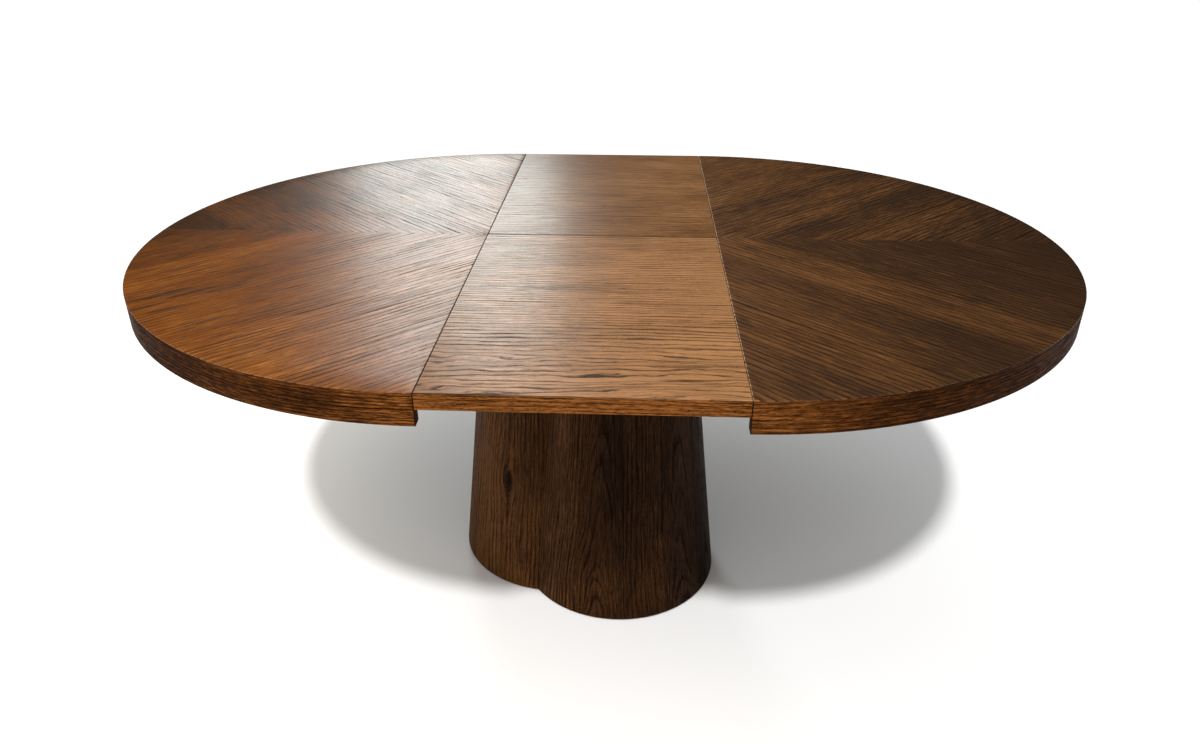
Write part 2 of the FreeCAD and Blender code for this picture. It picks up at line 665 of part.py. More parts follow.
slab = fresh("Part::Box")
slab.setExpression("Height", bound("ballast_thick"))
slab.Length, slab.Width = 400, 200
slab.Placement = FreeCAD.Placement(spin.multVec(V(-200, -100, 0)) + MIDDLE, spin)
slab.setExpression("Placement.Base.z", bound(BALLAST_LOW))
node(cut(slab, *[cyl("%.6f" % p.x, "%.6f" % p.y, BALLAST_LOW + " - 1", BALLAST_TOP + " + 1", "3.4")
                 for p in ballast_at]), "ballast_plate")
node(group(*[screw("%.6f" % p.x, "%.6f" % p.y, BALLAST_TOP, "foot_plate_low + 2", "3", "6", "4", up=False)
             for p in ballast_at]), "ballast_screws")

glides, glide_screws = [], []
for x, y in glide_at:
    body = fuse(cone(x, y, "0", "2", "glide_rad - 2", "glide_rad"), cyl(x, y, "2", "foot_plate_low", "glide_rad"))
    glides.append(cut(body, cyl(x, y, "-1", "foot_plate_low + 1", "2.2"), cyl(x, y, "-1", "6", "4.6")))
    glide_screws.append(screw(x, y, "6", "foot_plate_low + 18", "2", "4.2", "2.6"))
node(group(*glides), "floor_glides")
node(group(*glide_screws), "glide_screws")

# ----------------------------------------------------------------------------------
# Check every piece, then write it
# ----------------------------------------------------------------------------------
doc.recompute()
bad = [o.Name + " " + o.Label for o in doc.Objects if "Invalid" in o.State or "Error" in o.State]
if bad:
    raise SystemExit("failed: " + ", ".join(bad))
for o in NODES:
    sh = o.Shape
    if sh.isNull() or not sh.isValid() or not sh.Solids or any(x.Volume <= 0 for x in sh.Solids):
        raise SystemExit("bad shape: " + o.Label)
os.makedirs("parts", exist_ok=True)
for f in os.listdir("parts"):
    if f.endswith(".step"):
        os.remove(os.path.join("parts", f))
for o in NODES:
    o.Shape.exportStep(os.path.join("parts", o.Label + ".step"))
    print("%-26s solids %2d  volume %12.1f" % (o.Label, len(o.Shape.Solids), o.Shape.Volume))
print(len(NODES), "pieces")
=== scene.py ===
"""Looks for the extending round dining table: stained oak veneer on the top, its edges and the
two drums, plain hardwood slides, zinc fittings and nylon feet, on a pale floor."""

import math

import bpy
from mathutils import Matrix, Vector

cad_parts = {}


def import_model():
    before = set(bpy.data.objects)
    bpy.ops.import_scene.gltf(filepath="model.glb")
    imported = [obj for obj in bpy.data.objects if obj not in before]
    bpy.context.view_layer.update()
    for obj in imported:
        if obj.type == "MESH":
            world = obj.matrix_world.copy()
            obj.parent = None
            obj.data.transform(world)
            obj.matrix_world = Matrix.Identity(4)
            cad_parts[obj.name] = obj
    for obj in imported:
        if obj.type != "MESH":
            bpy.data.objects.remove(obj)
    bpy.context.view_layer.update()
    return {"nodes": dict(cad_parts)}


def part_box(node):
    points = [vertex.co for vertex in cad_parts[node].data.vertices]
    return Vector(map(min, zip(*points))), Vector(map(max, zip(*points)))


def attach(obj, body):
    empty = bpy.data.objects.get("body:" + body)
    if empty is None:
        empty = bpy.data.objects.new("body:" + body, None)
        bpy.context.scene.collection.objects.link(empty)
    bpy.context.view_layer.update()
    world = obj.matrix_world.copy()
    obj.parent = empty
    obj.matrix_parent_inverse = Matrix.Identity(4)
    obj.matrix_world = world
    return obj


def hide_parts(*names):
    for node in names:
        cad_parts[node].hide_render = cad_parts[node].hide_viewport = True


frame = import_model()
NODES = frame["nodes"]

# ---------------------------------------------------------------------------------------
# Sizes (metres), read from the frame; the drums' sizes are given
# ---------------------------------------------------------------------------------------
band_lo, band_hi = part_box("left_edge_band")
R = (band_hi.y - band_lo.y) / 2                 # radius of the round ends
SEAM = -band_hi.x                               # straight edge of each half
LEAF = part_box("leaf_panel")[1].x                # half the leaf's width
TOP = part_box("left_front_veneer")[1].z
CORE_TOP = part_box("left_front_veneer")[0].z
RIM_LOW = band_lo.z
LEAF_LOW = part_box("leaf_panel")[0].z
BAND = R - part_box("left_top_panel")[1].y
DRUM_LOW, DRUM_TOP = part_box("front_drum")[0].z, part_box("front_drum")[1].z
DRUM_FOOT, DRUM_TAPER, DRUM_WALL = 0.217, 0.1116, 0.016
DRUM_OFF, DRUM_TURN = 0.0842, math.radians(-30.2)
DRUM_MID = Vector((-0.031, -0.007, 0.0))

# ---------------------------------------------------------------------------------------
# Node shorthand
# ---------------------------------------------------------------------------------------


class Nodes:
    """A material's node tree, with short calls that take numbers or sockets."""

    def __init__(self, name):
        self.mat = bpy.data.materials.new(name)
        self.mat.use_nodes = True
        self.tree = self.mat.node_tree
        self.tree.nodes.clear()
        self.out = self.tree.nodes.new("ShaderNodeOutputMaterial")
        self.bsdf = self.tree.nodes.new("ShaderNodeBsdfPrincipled")
        self.tree.links.new(self.bsdf.outputs["BSDF"], self.out.inputs["Surface"])

    def new(self, kind, **props):
        n = self.tree.nodes.new(kind)
        for k, v in props.items():
            setattr(n, k, v)
        return n

    def put(self, socket, value):
        if isinstance(value, bpy.types.NodeSocket):
            self.tree.links.new(value, socket)
        else:
            socket.default_value = value

    def math(self, op, a, b=0.0, c=0.0, clamp=False):
        n = self.new("ShaderNodeMath", operation=op, use_clamp=clamp)
        self.put(n.inputs[0], a)
        self.put(n.inputs[1], b)
        self.put(n.inputs[2], c)
        return n.outputs[0]

    def add(self, a, b):
        return self.math("ADD", a, b)

    def sub(self, a, b):
        return self.math("SUBTRACT", a, b)

    def mul(self, a, b, clamp=False):
        return self.math("MULTIPLY", a, b, clamp=clamp)

    def mad(self, a, b, c):
        return self.math("MULTIPLY_ADD", a, b, c)

    def step(self, v, lo, hi, out_lo=0.0, out_hi=1.0):
        """Smooth ramp of v from lo to hi."""
        n = self.new("ShaderNodeMapRange", interpolation_type="SMOOTHSTEP")
        self.put(n.inputs["Value"], v)
        for key, val in (("From Min", lo), ("From Max", hi), ("To Min", out_lo), ("To Max", out_hi)):
            self.put(n.inputs[key], val)
        return n.outputs["Result"]

    def vec(self, x, y, z=0.0):
        n = self.new("ShaderNodeCombineXYZ")
        for s, v in zip(n.inputs, (x, y, z)):
            self.put(s, v)
        return n.outputs[0]

    def split(self, v):
        n = self.new("ShaderNodeSeparateXYZ")
        self.put(n.inputs[0], v)
        return n.outputs[0], n.outputs[1], n.outputs[2]

    def noise(self, v, scale=1.0, detail=2.0, rough=0.5, distort=0.0):
        n = self.new("ShaderNodeTexNoise", noise_dimensions="3D")
        self.put(n.inputs["Vector"], v)
        n.inputs["Scale"].default_value = scale
        n.inputs["Detail"].default_value = detail
        n.inputs["Roughness"].default_value = rough
        n.inputs["Distortion"].default_value = distort
        return n.outputs[0]

    def white(self, v):
        n = self.new("ShaderNodeTexWhiteNoise", noise_dimensions="3D")
        self.put(n.inputs["Vector"], v)
        return n.outputs["Value"], n.outputs["Color"]

    def mix(self, fac, a, b, blend="MIX"):
        n = self.new("ShaderNodeMix", data_type="RGBA", blend_type=blend)
        self.put(n.inputs[0], fac)
        for s, v in ((n.inputs[6], a), (n.inputs[7], b)):
            if isinstance(v, bpy.types.NodeSocket):
                self.put(s, v)
            else:
                s.default_value = (v[0], v[1], v[2], 1.0)
        return n.outputs[2]

    def attr(self, name):
        n = self.new("ShaderNodeAttribute", attribute_type="GEOMETRY", attribute_name=name)
        return n

    def place(self):
        return self.new("ShaderNodeTexCoord").outputs["Object"]

    def bump(self, height, distance, strength=1.0, normal=None):
        n = self.new("ShaderNodeBump")
        n.inputs["Strength"].default_value = strength
        n.inputs["Distance"].default_value = distance
        self.put(n.inputs["Height"], height)
        if normal is not None:
            self.put(n.inputs["Normal"], normal)
        return n.outputs[0]


# ---------------------------------------------------------------------------------------
# Oak
# ---------------------------------------------------------------------------------------


def oak(name, shades, pore, strip=170.0, strip_tone=0.16, wave=10.0, ring=9.0, cathedral=0.35, arc=0.5, lift=0.10,
        stir=34.0, dashes=14.0, pores=1.0, rough=0.34, gloss=0.5, spread=1.0, width=1.0, speck=0.25, knot=None,
        stripes=(), sway=0.35, wavier=None, early_to=0.55, faint=0.22, solid=0.35,
        flecks=(), relief=0.00012, fibres=42.0, streaks=60.0, comb=0.12,
        ringy=1.0, close=0.35, pitch=2.6, jitter=3.4, choppy=0.55):
    """Stained open-pore oak.  The mesh's grain attribute holds, in metres, the distance along the
    grain, the distance across it and a number that sets pieces apart; tone shifts a whole piece and carries its painted
    light and shade."""
    g = Nodes(name)
    along, across, which = g.split(g.attr("grain").outputs["Vector"])
    u, v = g.mul(along, 1000.0), g.mul(across, 1000.0)
    tone = g.attr("tone").outputs["Fac"]

    if knot:                                        # fibres part round a knot
        ku, kv, size = knot
        du, dv = g.mul(g.sub(u, ku), 0.42), g.sub(v, kv)
        d2 = g.add(g.add(g.mul(du, du), g.mul(dv, dv)), 4.0)
        v = g.sub(v, g.math("DIVIDE", g.mul(dv, size * size), g.add(d2, size * size * 0.6)))
        near_knot = g.step(g.math("SQRT", d2), size * 1.1, size * 0.25)

    # sheets of veneer laid side by side, each cut from another part of the flitch
    s = g.add(g.math("DIVIDE", v, strip), g.mul(which, 7.31))
    sheet = g.math("FLOOR", s)
    inside = g.math("FRACT", s)
    r1, rc = g.white(g.vec(sheet, which, 3.7))
    ra, rb, rd = g.split(rc)
    u1 = g.mad(ra, 4100.0, u)
    v1 = g.mad(rb, 1700.0, v)

    # slow bends in the grain, then small ones
    bend = g.sub(g.noise(g.vec(g.mul(u1, 1 / 520.0), g.mul(v1, 1 / 150.0), which), 1.0, 2.0, 0.45), 0.5)
    ripple = g.sub(g.noise(g.vec(g.mul(u1, 1 / 95.0), g.mul(v1, 1 / 26.0), which), 1.0, 2.0, 0.5), 0.5)
    shift = g.add(g.mul(bend, wave * 2.4), g.mul(ripple, wave * choppy))
    vc = g.mul(g.sub(inside, 0.5), strip)
    if wavier:                                      # towards one edge the grain bends more and opens out
        start, end, more, slower = wavier
        shift = g.mul(shift, g.step(v, start, end, 1.0, more))
        vc = g.mad(g.math("MINIMUM", g.sub(v, start), 0.0), slower - 1.0, vc)
    vs = g.add(v, shift)
    vc = g.add(vc, shift)
    flat = g.step(rd, 1.0 - cathedral - 0.05, 1.0 - cathedral + 0.05)

    # growth rings: straight in some sheets, long arches in others
    drift = g.sub(g.noise(g.vec(g.mul(u1, 1 / 330.0), which, 6.0), 1.0, 1.5, 0.5), 0.5)
    va = g.mad(drift, strip * sway, vc)
    climb = g.mad(g.sub(g.noise(g.vec(g.mul(u1, 1 / 150.0), g.mul(vc, 1 / 45.0), which), 1.0, 1.5), 0.5), stir, g.mul(u1, lift))
    arch = g.add(g.math("DIVIDE", g.mul(va, va), strip * arc), climb)
    field = g.add(g.mul(vc, g.sub(1.0, flat)), g.mul(arch, flat))
    field = g.mad(g.sub(g.noise(g.vec(g.mul(field, 1 / 31.0), which, 9.0), 1.0, 1.0), 0.5), ring * jitter, field)
    phase = g.math("FRACT", g.math("DIVIDE", field, ring))
    early = g.step(phase, early_to, 0.0)
    bold = g.noise(g.vec(g.mul(field, 1 / (ring * 1.9)), g.mul(u1, 1 / 420.0), which), 1.0, 1.0)
    bold = g.step(bold, 0.32, 0.64, faint, 1.0)

    # pores: open dashes along the rings, longer streaks, and fine short ones everywhere; each row
    # slips along the grain so that neighbours do not line up
    u2 = g.mad(g.noise(g.vec(g.mul(vs, 1 / 1.7), which, 8.0), 1.0, 0.0), 80.0, u1)
    dash = g.noise(g.vec(g.mul(u2, 1 / dashes), g.mul(vs, 1 / (1.55 * width)), which), 1.0, 1.5, 0.5)
    dash = g.step(dash, 0.47, 0.58)
    streak = g.noise(g.vec(g.mul(u2, 1 / streaks), g.mul(vs, 1 / (pitch * width)), g.add(which, 1.5)), 1.0, 1.0, 0.4)
    streak = g.step(streak, 0.51, 0.60)
    patch = g.noise(g.vec(g.mul(u1, 1 / 210.0), g.mul(v1, 1 / 70.0), g.add(which, 3.0)), 1.0, 1.5, 0.5)
    patch = g.step(patch, 0.36, 0.62, close, 1.0)       # some parts open, some close-grained
    fine = g.noise(g.vec(g.mul(u2, 1 / 6.5), g.mul(vs, 1 / (0.95 * width)), g.add(which, 5.0)), 1.0, 1.5, 0.6)
    fine = g.step(fine, 0.50, 0.64)
    line = g.mul(g.mul(early, bold), g.mad(dash, 1.1 - solid, solid))
    open_ = g.add(g.mul(line, ringy), g.mul(g.mul(streak, g.mad(early, 0.6, comb)), 0.45))
    open_ = g.mul(open_, patch)
    dark = g.math("MINIMUM", g.mul(g.add(open_, g.mul(fine, g.mad(early, 0.30, speck))), pores), 1.0)
    for at_u, at_v, half_u, half_v, amount in flecks:  # dark lens-shaped marks
        fu, fv = g.mul(g.sub(u, at_u), 1 / half_u), g.mul(g.sub(vs, at_v), 1 / half_v)
        mark = g.step(g.add(g.mul(fu, fu), g.mul(fv, fv)), 1.0, 0.2, 0.0, amount)
        dark = g.math("MAXIMUM", dark, g.mul(mark, g.mad(dash, 0.45, 0.55)))
    # dark raw edges: the rims' stained end faces and the leaf's middle joint, and in the left seam's gap partly painted
    # shade
    cut = g.step(tone, -0.82, -0.94)                 # raw edges drink the stain
    dark = g.math("MAXIMUM", dark, cut)

    # colour: fibre streaks, stain clouds and the tone of each sheet
    fibre = g.noise(g.vec(g.mul(u1, 1 / fibres), g.mul(vs, 1 / (1.9 * width)), which), 1.0, 3.0, 0.6)
    cloud = g.noise(g.vec(g.mul(u, 1 / 260.0), g.mul(v, 1 / 120.0), g.add(which, 2.0)), 1.0, 2.0, 0.5)
    band = g.noise(g.vec(g.mul(u1, 1 / 900.0), g.mul(vs, 1 / 40.0), which), 1.0, 1.5, 0.5)
    t = g.add(g.mul(g.sub(fibre, 0.5), 1.25 * spread), g.mul(g.sub(cloud, 0.5), 0.55 * spread))
    t = g.add(t, g.mul(g.sub(band, 0.5), 0.32 * spread))
    t = g.add(t, g.mul(g.sub(r1, 0.5), strip_tone * 2.0))
    for at, half, amount in stripes:
        t = g.mad(g.step(g.math("ABSOLUTE", g.sub(vs, at)), half, half * 0.6), amount, t)
    # the piece's tone: mostly painted light and shade
    t = g.add(g.add(t, 0.5), tone)
    colour = g.mix(g.step(t, -0.05, 0.55), shades[0], shades[1])
    colour = g.mix(g.step(t, 0.45, 1.05), colour, shades[2])
    colour = g.mix(g.mul(dark, 0.95), colour, pore)
    if knot:
        colour = g.mix(g.mul(near_knot, 0.85), colour, (pore[0] * 0.6, pore[1] * 0.6, pore[2] * 0.6))
    # hairline where two sheets meet
    edge = g.math("MINIMUM", inside, g.sub(1.0, inside))
    joint = g.step(edge, 0.9 / strip, 0.2 / strip)
    colour = g.mix(g.mul(joint, 0.25), colour, pore)

    haze = g.noise(g.vec(g.mul(u, 1 / 70.0), g.mul(v, 1 / 55.0), 4.0), 1.0, 3.0, 0.6)
    g.put(g.bsdf.inputs["Base Color"], colour)
    g.put(g.bsdf.inputs["Roughness"],
          g.math("MINIMUM", g.add(g.mad(g.sub(haze, 0.5), 0.08, rough), g.mul(dark, 0.30)), 0.95))
    g.put(g.bsdf.inputs["Specular IOR Level"], g.mul(g.mad(dark, -0.7, 1.0), gloss))
    height = g.sub(g.mul(fibre, 0.12), g.add(g.mul(open_, 0.75), g.mul(fine, 0.30)))
    height = g.sub(height, g.mul(joint, 0.4))
    g.put(g.bsdf.inputs["Normal"], g.bump(height, relief, 0.8))
    return g.mat


# One oak in three sets of shades. The right half's set is darker and more neutral: painted shade for the less lit half.
# The left's more orange set is partly painted warm light.
LEFT_SHADES = ((0.043, 0.0172, 0.0040), (0.168, 0.0485, 0.0032), (0.405, 0.158, 0.027))
LEAF_SHADES = ((0.043, 0.0222, 0.0122), (0.162, 0.0700, 0.0225), (0.405, 0.200, 0.084))
SHADED_RIGHT_SHADES = ((0.040, 0.0178, 0.0074), (0.142, 0.0590, 0.0170), (0.325, 0.154, 0.056))
PORE = (0.0080, 0.0034, 0.0013)
TOP_OAK = dict(strip=2000.0, strip_tone=0.0, wave=8.0, ring=11.5, dashes=20.0, width=1.3, pores=2.0, gloss=0.38,
               spread=1.2, rough=0.29, early_to=0.45, faint=0.55, solid=0.4, cathedral=-0.1, speck=0.16, streaks=120.0,
               comb=0.38, ringy=0.42, close=0.5, jitter=1.8)
M_LEFT = oak("oak_left_front", LEFT_SHADES, PORE,
             stripes=((200.0, 40.0, 0.06), (352.0, 115.0, -0.27), (100.0, 60.0, -0.06)),
             flecks=((604.0, 98.0, 80.0, 9.0, 1.0), (550.0, 74.0, 66.0, 8.0, 1.0), (640.0, 58.0, 50.0, 7.0, 1.0),
                     (505.0, 54.0, 50.0, 6.0, 0.9), (616.0, 30.0, 44.0, 6.0, 0.9), (580.0, -58.0, 60.0, 5.0, 0.9)), **TOP_OAK)
M_LEFT_REAR = oak("oak_left_rear", LEFT_SHADES, PORE, stripes=((390.0, 70.0, -0.10),), **TOP_OAK)
M_RIGHT_SHADED = oak("oak_right_half_shaded", SHADED_RIGHT_SHADES, PORE,
              stripes=((0.0, 52.0, 0.12), (92.0, 45.0, -0.08), (-110.0, 50.0, -0.07)), **dict(TOP_OAK, ringy=0.95, spread=1.45))
M_LEAF = oak("oak_leaf", LEAF_SHADES, PORE, strip=2000.0, strip_tone=0.0, wave=9.0, ring=8.6, cathedral=-0.1,
             dashes=18.0, width=1.3, pores=1.9, gloss=0.38, spread=1.1, rough=0.29, wavier=(-430.0, -580.0, 2.7, 0.62),
             early_to=0.42, faint=0.55, solid=0.5, speck=0.20, streaks=90.0, comb=0.2, close=0.6, ringy=0.78, jitter=1.8, choppy=0.95,
             flecks=((425.0, -551.0, 55.0, 4.0, 1.0), (446.0, -574.0, 46.0, 5.0, 1.0), (496.0, -566.0, 60.0, 3.5, 0.9),
                     (450.0, -614.0, 60.0, 4.5, 1.0), (231.0, -281.0, 90.0, 9.0, 0.45), (330.0, -640.0, 110.0, 4.0, 0.7)))
M_LEAF_REAR = oak("oak_leaf_rear", LEAF_SHADES, PORE, strip=2000.0, strip_tone=0.0, wave=9.0, ring=11.0, cathedral=-0.1,
                  dashes=18.0, width=1.3, pores=1.9, gloss=0.38, spread=1.1, rough=0.29, early_to=0.42, faint=0.5,
                  solid=0.5, speck=0.20, streaks=90.0, comb=0.2, close=0.6, ringy=0.5, jitter=1.8)
M_EDGE = oak("oak_edge", ((0.026, 0.0082, 0.0016), (0.100, 0.0300, 0.0050), (0.26, 0.091, 0.020)), PORE,
             strip=400.0, wave=6.0, ring=5.6, cathedral=-0.1, dashes=12.0, rough=0.5, gloss=0.02, pores=2.3, width=1.2,
             spread=2.0, faint=0.4, solid=0.3, speck=0.36, fibres=24.0, comb=0.5)
DRUM = dict(strip=84.0, strip_tone=0.20, wave=15.0, ring=8.5, cathedral=0.4, dashes=16.0, rough=0.48, gloss=0.04,
            width=1.3, pores=1.9, speck=0.36, spread=1.4, stir=18.0, faint=0.3, solid=0.3)
DRUM_SHADES = ((0.0108, 0.0040, 0.0010), (0.042, 0.0153, 0.0038), (0.118, 0.0475, 0.0128))
DRUM_PORE = (0.0030, 0.0013, 0.0007)
M_DRUM = oak("oak_drum", DRUM_SHADES, DRUM_PORE, **DRUM)
M_KNOTTY = oak("oak_drum_knot", DRUM_SHADES, DRUM_PORE, knot=(262.0, 288.0, 15.0), **DRUM)


# ---------------------------------------------------------------------------------------
# Other materials, on the frame's own pieces
# ---------------------------------------------------------------------------------------


def plain_wood(name, light, dark, axis=0, rough=0.5, fleck=0.35, scale=1.0, gloss=0.22):
    """Sawn hardwood or board with the grain along one axis."""
    g = Nodes(name)
    p = list(g.split(g.place()))
    a = g.mul(p[axis], 1000.0)
    b, c = (g.mul(p[i], 1000.0) for i in range(3) if i != axis)
    bend = g.mul(g.sub(g.noise(g.vec(g.mul(a, 1 / 300.0), g.mul(b, 1 / 60.0), g.mul(c, 1 / 60.0)), 1.0, 2.0), 0.5), 9.0)
    b2 = g.add(b, bend)
    fibre = g.noise(g.vec(g.mul(a, 1 / (120.0 * scale)), g.mul(b2, 1 / (2.4 * scale)), g.mul(c, 1 / (2.4 * scale))), 1.0, 3.0, 0.6)
    rings = g.noise(g.vec(g.mul(a, 1 / 800.0), g.mul(b2, 1 / (11.0 * scale)), g.mul(c, 1 / (11.0 * scale))), 1.0, 1.0)
    short = g.step(g.noise(g.vec(g.mul(a, 1 / 5.0), g.mul(b2, 1 / 0.8), g.mul(c, 1 / 0.8)), 1.0, 1.0), 0.60, 0.72)
    t = g.add(g.mul(fibre, 0.55), g.mul(rings, 0.65))
    colour = g.mix(g.step(t, 0.30, 0.85), light, dark)
    colour = g.mix(g.mul(short, fleck), colour, tuple(x * 0.45 for x in dark))
    g.put(g.bsdf.inputs["Base Color"], colour)
    g.put(g.bsdf.inputs["Roughness"], g.mad(fibre, 0.16, rough - 0.08))
    g.bsdf.inputs["Specular IOR Level"].default_value = gloss
    g.put(g.bsdf.inputs["Normal"], g.bump(g.sub(fibre, g.mul(short, 0.5)), 0.00015, 0.6))
    return g.mat


def ply(name, light, dark, thick=1.6, rough=0.6, gloss=0.2):
    """Board whose cut edges show thin layers, one above the other."""
    g = Nodes(name)
    x, y, z = g.split(g.place())
    zz = g.mul(z, 1000.0)
    layer = g.math("FLOOR", g.math("DIVIDE", zz, thick))
    r, _ = g.white(g.vec(layer, 1.0, 2.0))
    grain = g.noise(g.vec(g.mul(x, 60.0), g.mul(y, 420.0), g.mul(zz, 0.4)), 1.0, 3.0, 0.6)
    fibre = g.noise(g.vec(g.mul(x, 900.0), g.mul(y, 900.0), g.mul(layer, 3.0)), 1.0, 2.0, 0.6)
    t = g.add(g.mul(grain, 0.6), g.add(g.mul(r, 0.3), g.mul(fibre, 0.25)))
    g.put(g.bsdf.inputs["Base Color"], g.mix(g.step(t, 0.3, 0.85), light, dark))
    g.put(g.bsdf.inputs["Roughness"], g.mad(fibre, 0.2, rough - 0.1))
    g.bsdf.inputs["Specular IOR Level"].default_value = gloss
    g.put(g.bsdf.inputs["Normal"], g.bump(g.add(grain, fibre), 0.00015, 0.5))
    return g.mat


def zinc(name):
    """Bright zinc plate with fine scratches and a little dulling."""
    g = Nodes(name)
    p = g.place()
    x, y, z = g.split(p)
    scratch = g.noise(g.vec(g.mul(x, 2600.0), g.mul(y, 220.0), g.mul(z, 2600.0)), 1.0, 2.0, 0.6)
    dull = g.noise(p, 160.0, 3.0, 0.6)
    g.put(g.bsdf.inputs["Base Color"], g.mix(g.step(dull, 0.35, 0.7), (0.60, 0.60, 0.58), (0.40, 0.39, 0.36)))
    g.bsdf.inputs["Metallic"].default_value = 1.0
    g.put(g.bsdf.inputs["Roughness"], g.add(g.mul(scratch, 0.22), g.mad(dull, 0.18, 0.14)))
    g.put(g.bsdf.inputs["Normal"], g.bump(scratch, 0.00004, 0.5))
    return g.mat


def moulded(name, colour, rough=0.45):
    """Moulded plastic: fine spark texture and faint flow marks."""
    g = Nodes(name)
    p = g.place()
    spark = g.noise(p, 2300.0, 2.0, 0.6)
    flow = g.noise(p, 55.0, 3.0, 0.55)
    g.put(g.bsdf.inputs["Base Color"], g.mix(flow, tuple(c * 0.75 for c in colour), tuple(min(1, c * 1.25) for c in colour)))
    g.put(g.bsdf.inputs["Roughness"], g.add(g.mul(spark, 0.14), g.mad(flow, 0.12, rough - 0.12)))
    g.put(g.bsdf.inputs["Normal"], g.bump(spark, 0.00006, 0.5))
    return g.mat


def primer(name):
    """Black primer on plate steel, with mill scale under it."""
    g = Nodes(name)
    p = g.place()
    scale = g.noise(p, 38.0, 4.0, 0.6)
    grit = g.noise(p, 900.0, 2.0, 0.6)
    g.put(g.bsdf.inputs["Base Color"], g.mix(scale, (0.014, 0.014, 0.015), (0.035, 0.033, 0.031)))
    g.put(g.bsdf.inputs["Roughness"], g.add(g.mul(scale, 0.25), g.mad(grit, 0.15, 0.30)))
    g.put(g.bsdf.inputs["Normal"], g.bump(g.add(scale, g.mul(grit, 0.4)), 0.0002, 0.5))
    return g.mat


M_UNDER = plain_wood("backing_veneer", (0.125, 0.062, 0.030), (0.072, 0.034, 0.016), axis=1, rough=0.6, scale=1.6, gloss=0.08)
M_LEAFUNDER = plain_wood("leaf_backing_veneer", (0.125, 0.062, 0.030), (0.072, 0.034, 0.016), axis=0, rough=0.6, scale=1.6, gloss=0.08)
M_BEECH_X = plain_wood("beech_rails", (0.50, 0.31, 0.165), (0.36, 0.205, 0.10), axis=0, rough=0.48)
M_BEECH_Y = plain_wood("beech_bearers", (0.47, 0.29, 0.15), (0.34, 0.19, 0.093), axis=1, rough=0.5)
M_BEECH_Z = plain_wood("beech_block", (0.47, 0.29, 0.15), (0.34, 0.19, 0.093), axis=2, rough=0.5)
M_SKIRT = ply("stained_bent_ply", (0.042, 0.020, 0.0095), (0.019, 0.0088, 0.0042), rough=0.75, gloss=0.03)
M_PLY = ply("plain_ply", (0.50, 0.35, 0.20), (0.33, 0.21, 0.115))
M_ZINC = zinc("zinc_plate")
M_NYLON = moulded("black_nylon", (0.030, 0.029, 0.028))
M_ACETAL = moulded("white_acetal", (0.62, 0.60, 0.55), 0.4)
M_PRIMER = primer("black_primer")


def dress(material, *nodes):
    for n in nodes:
        o = NODES[n]
        o.data.materials.clear()
        o.data.materials.append(material)


dress(M_UNDER, "left_top_panel", "right_top_panel")
dress(M_LEAFUNDER, "leaf_panel")
dress(M_SKIRT, "left_skirt", "right_skirt")
dress(M_BEECH_X, "left_front_runner", "left_rear_runner", "right_front_runner", "right_rear_runner",
      "front_rail", "rear_rail", "left_alignment_dowels", "right_alignment_dowels", "rail_end_stops")
dress(M_BEECH_Y, "left_bearer", "right_bearer")
dress(M_BEECH_Z, "pinion_block")
dress(M_PLY, "base_foot_plate", "base_middle_rib", "base_top_plate")
dress(M_ACETAL, "pinion_gear", "left_rack", "right_rack", "thrust_washer")
dress(M_NYLON, "floor_glides")
dress(M_PRIMER, "ballast_plate")
dress(M_ZINC, "left_runner_screws", "right_runner_screws", "left_rack_screws", "right_rack_screws",
      "left_keeper_screws", "right_lock_screws", "leaf_lock_screws", "rail_screws", "bearer_bolts",
      "ballast_screws", "glide_screws", "right_lock_plates", "leaf_lock_plates", "leaf_keepers", "left_keepers",
      "right_front_lock_hook", "right_rear_lock_hook", "leaf_front_lock_hook", "leaf_rear_lock_hook", "pinion_pin")


def soften(width, *nodes):
    """Takes the sharp arrises off sawn pieces."""
    for n in nodes:
        m = NODES[n].modifiers.new("arris", "BEVEL")
        m.width, m.segments, m.limit_method, m.angle_limit = width, 2, "ANGLE", math.radians(50)
        m.harden_normals = False


soften(0.0014, "front_rail", "rear_rail", "left_bearer", "right_bearer", "left_front_runner", "left_rear_runner",
       "right_front_runner", "right_rear_runner", "pinion_block")


# ---------------------------------------------------------------------------------------
# Veneered pieces, as finer meshes than the frame's
# ---------------------------------------------------------------------------------------


class Build:
    """Collects points, faces and each face corner's place in the grain."""

    def __init__(self):
        self.points, self.faces, self.grain = [], [], []

    def ring(self, pts):
        start = len(self.points)
        self.points += [tuple(p) for p in pts]
        return list(range(start, start + len(pts)))

    def face(self, ids, where):
        self.faces.append(list(ids))
        self.grain.append([where(self.points[i]) for i in ids])

    def make(self, name, body, node, material, tone=0.0, flip=False, smooth=35.0):
        faces, grain = self.faces, self.grain
        if flip:
            faces = [f[::-1] for f in faces]
            grain = [w[::-1] for w in grain]
        me = bpy.data.meshes.new(name)
        me.from_pydata(self.points, [], faces)
        a = me.attributes.new("grain", "FLOAT_VECTOR", "CORNER")
        a.data.foreach_set("vector", [c for w in grain for p in w for c in p])
        t = me.attributes.new("tone", "FLOAT", "CORNER")
        shade = tone if callable(tone) else (lambda p: tone)
        t.data.foreach_set("value", [shade(self.points[i]) for f in faces for i in f])
        me.materials.append(material)
        me.polygons.foreach_set("use_smooth", [True] * len(me.polygons))
        me.set_sharp_from_angle(angle=math.radians(smooth))
        me.validate(clean_customdata=False)
        me.update()
        o = bpy.data.objects.new(name, me)
        bpy.context.scene.collection.objects.link(o)
        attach(o, body)
        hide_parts(node)
        return o


def ease(radius, steps=4):
    """(inset, drop) pairs of a rounded arris, from the side up to the face."""
    out = []
    for k in range(steps + 1):
        a = math.pi / 2 * k / steps
        out.append((radius * (1 - math.cos(a)), radius * (1 - math.sin(a))))
    return out


GRAIN_ANGLE = math.radians(43.5)


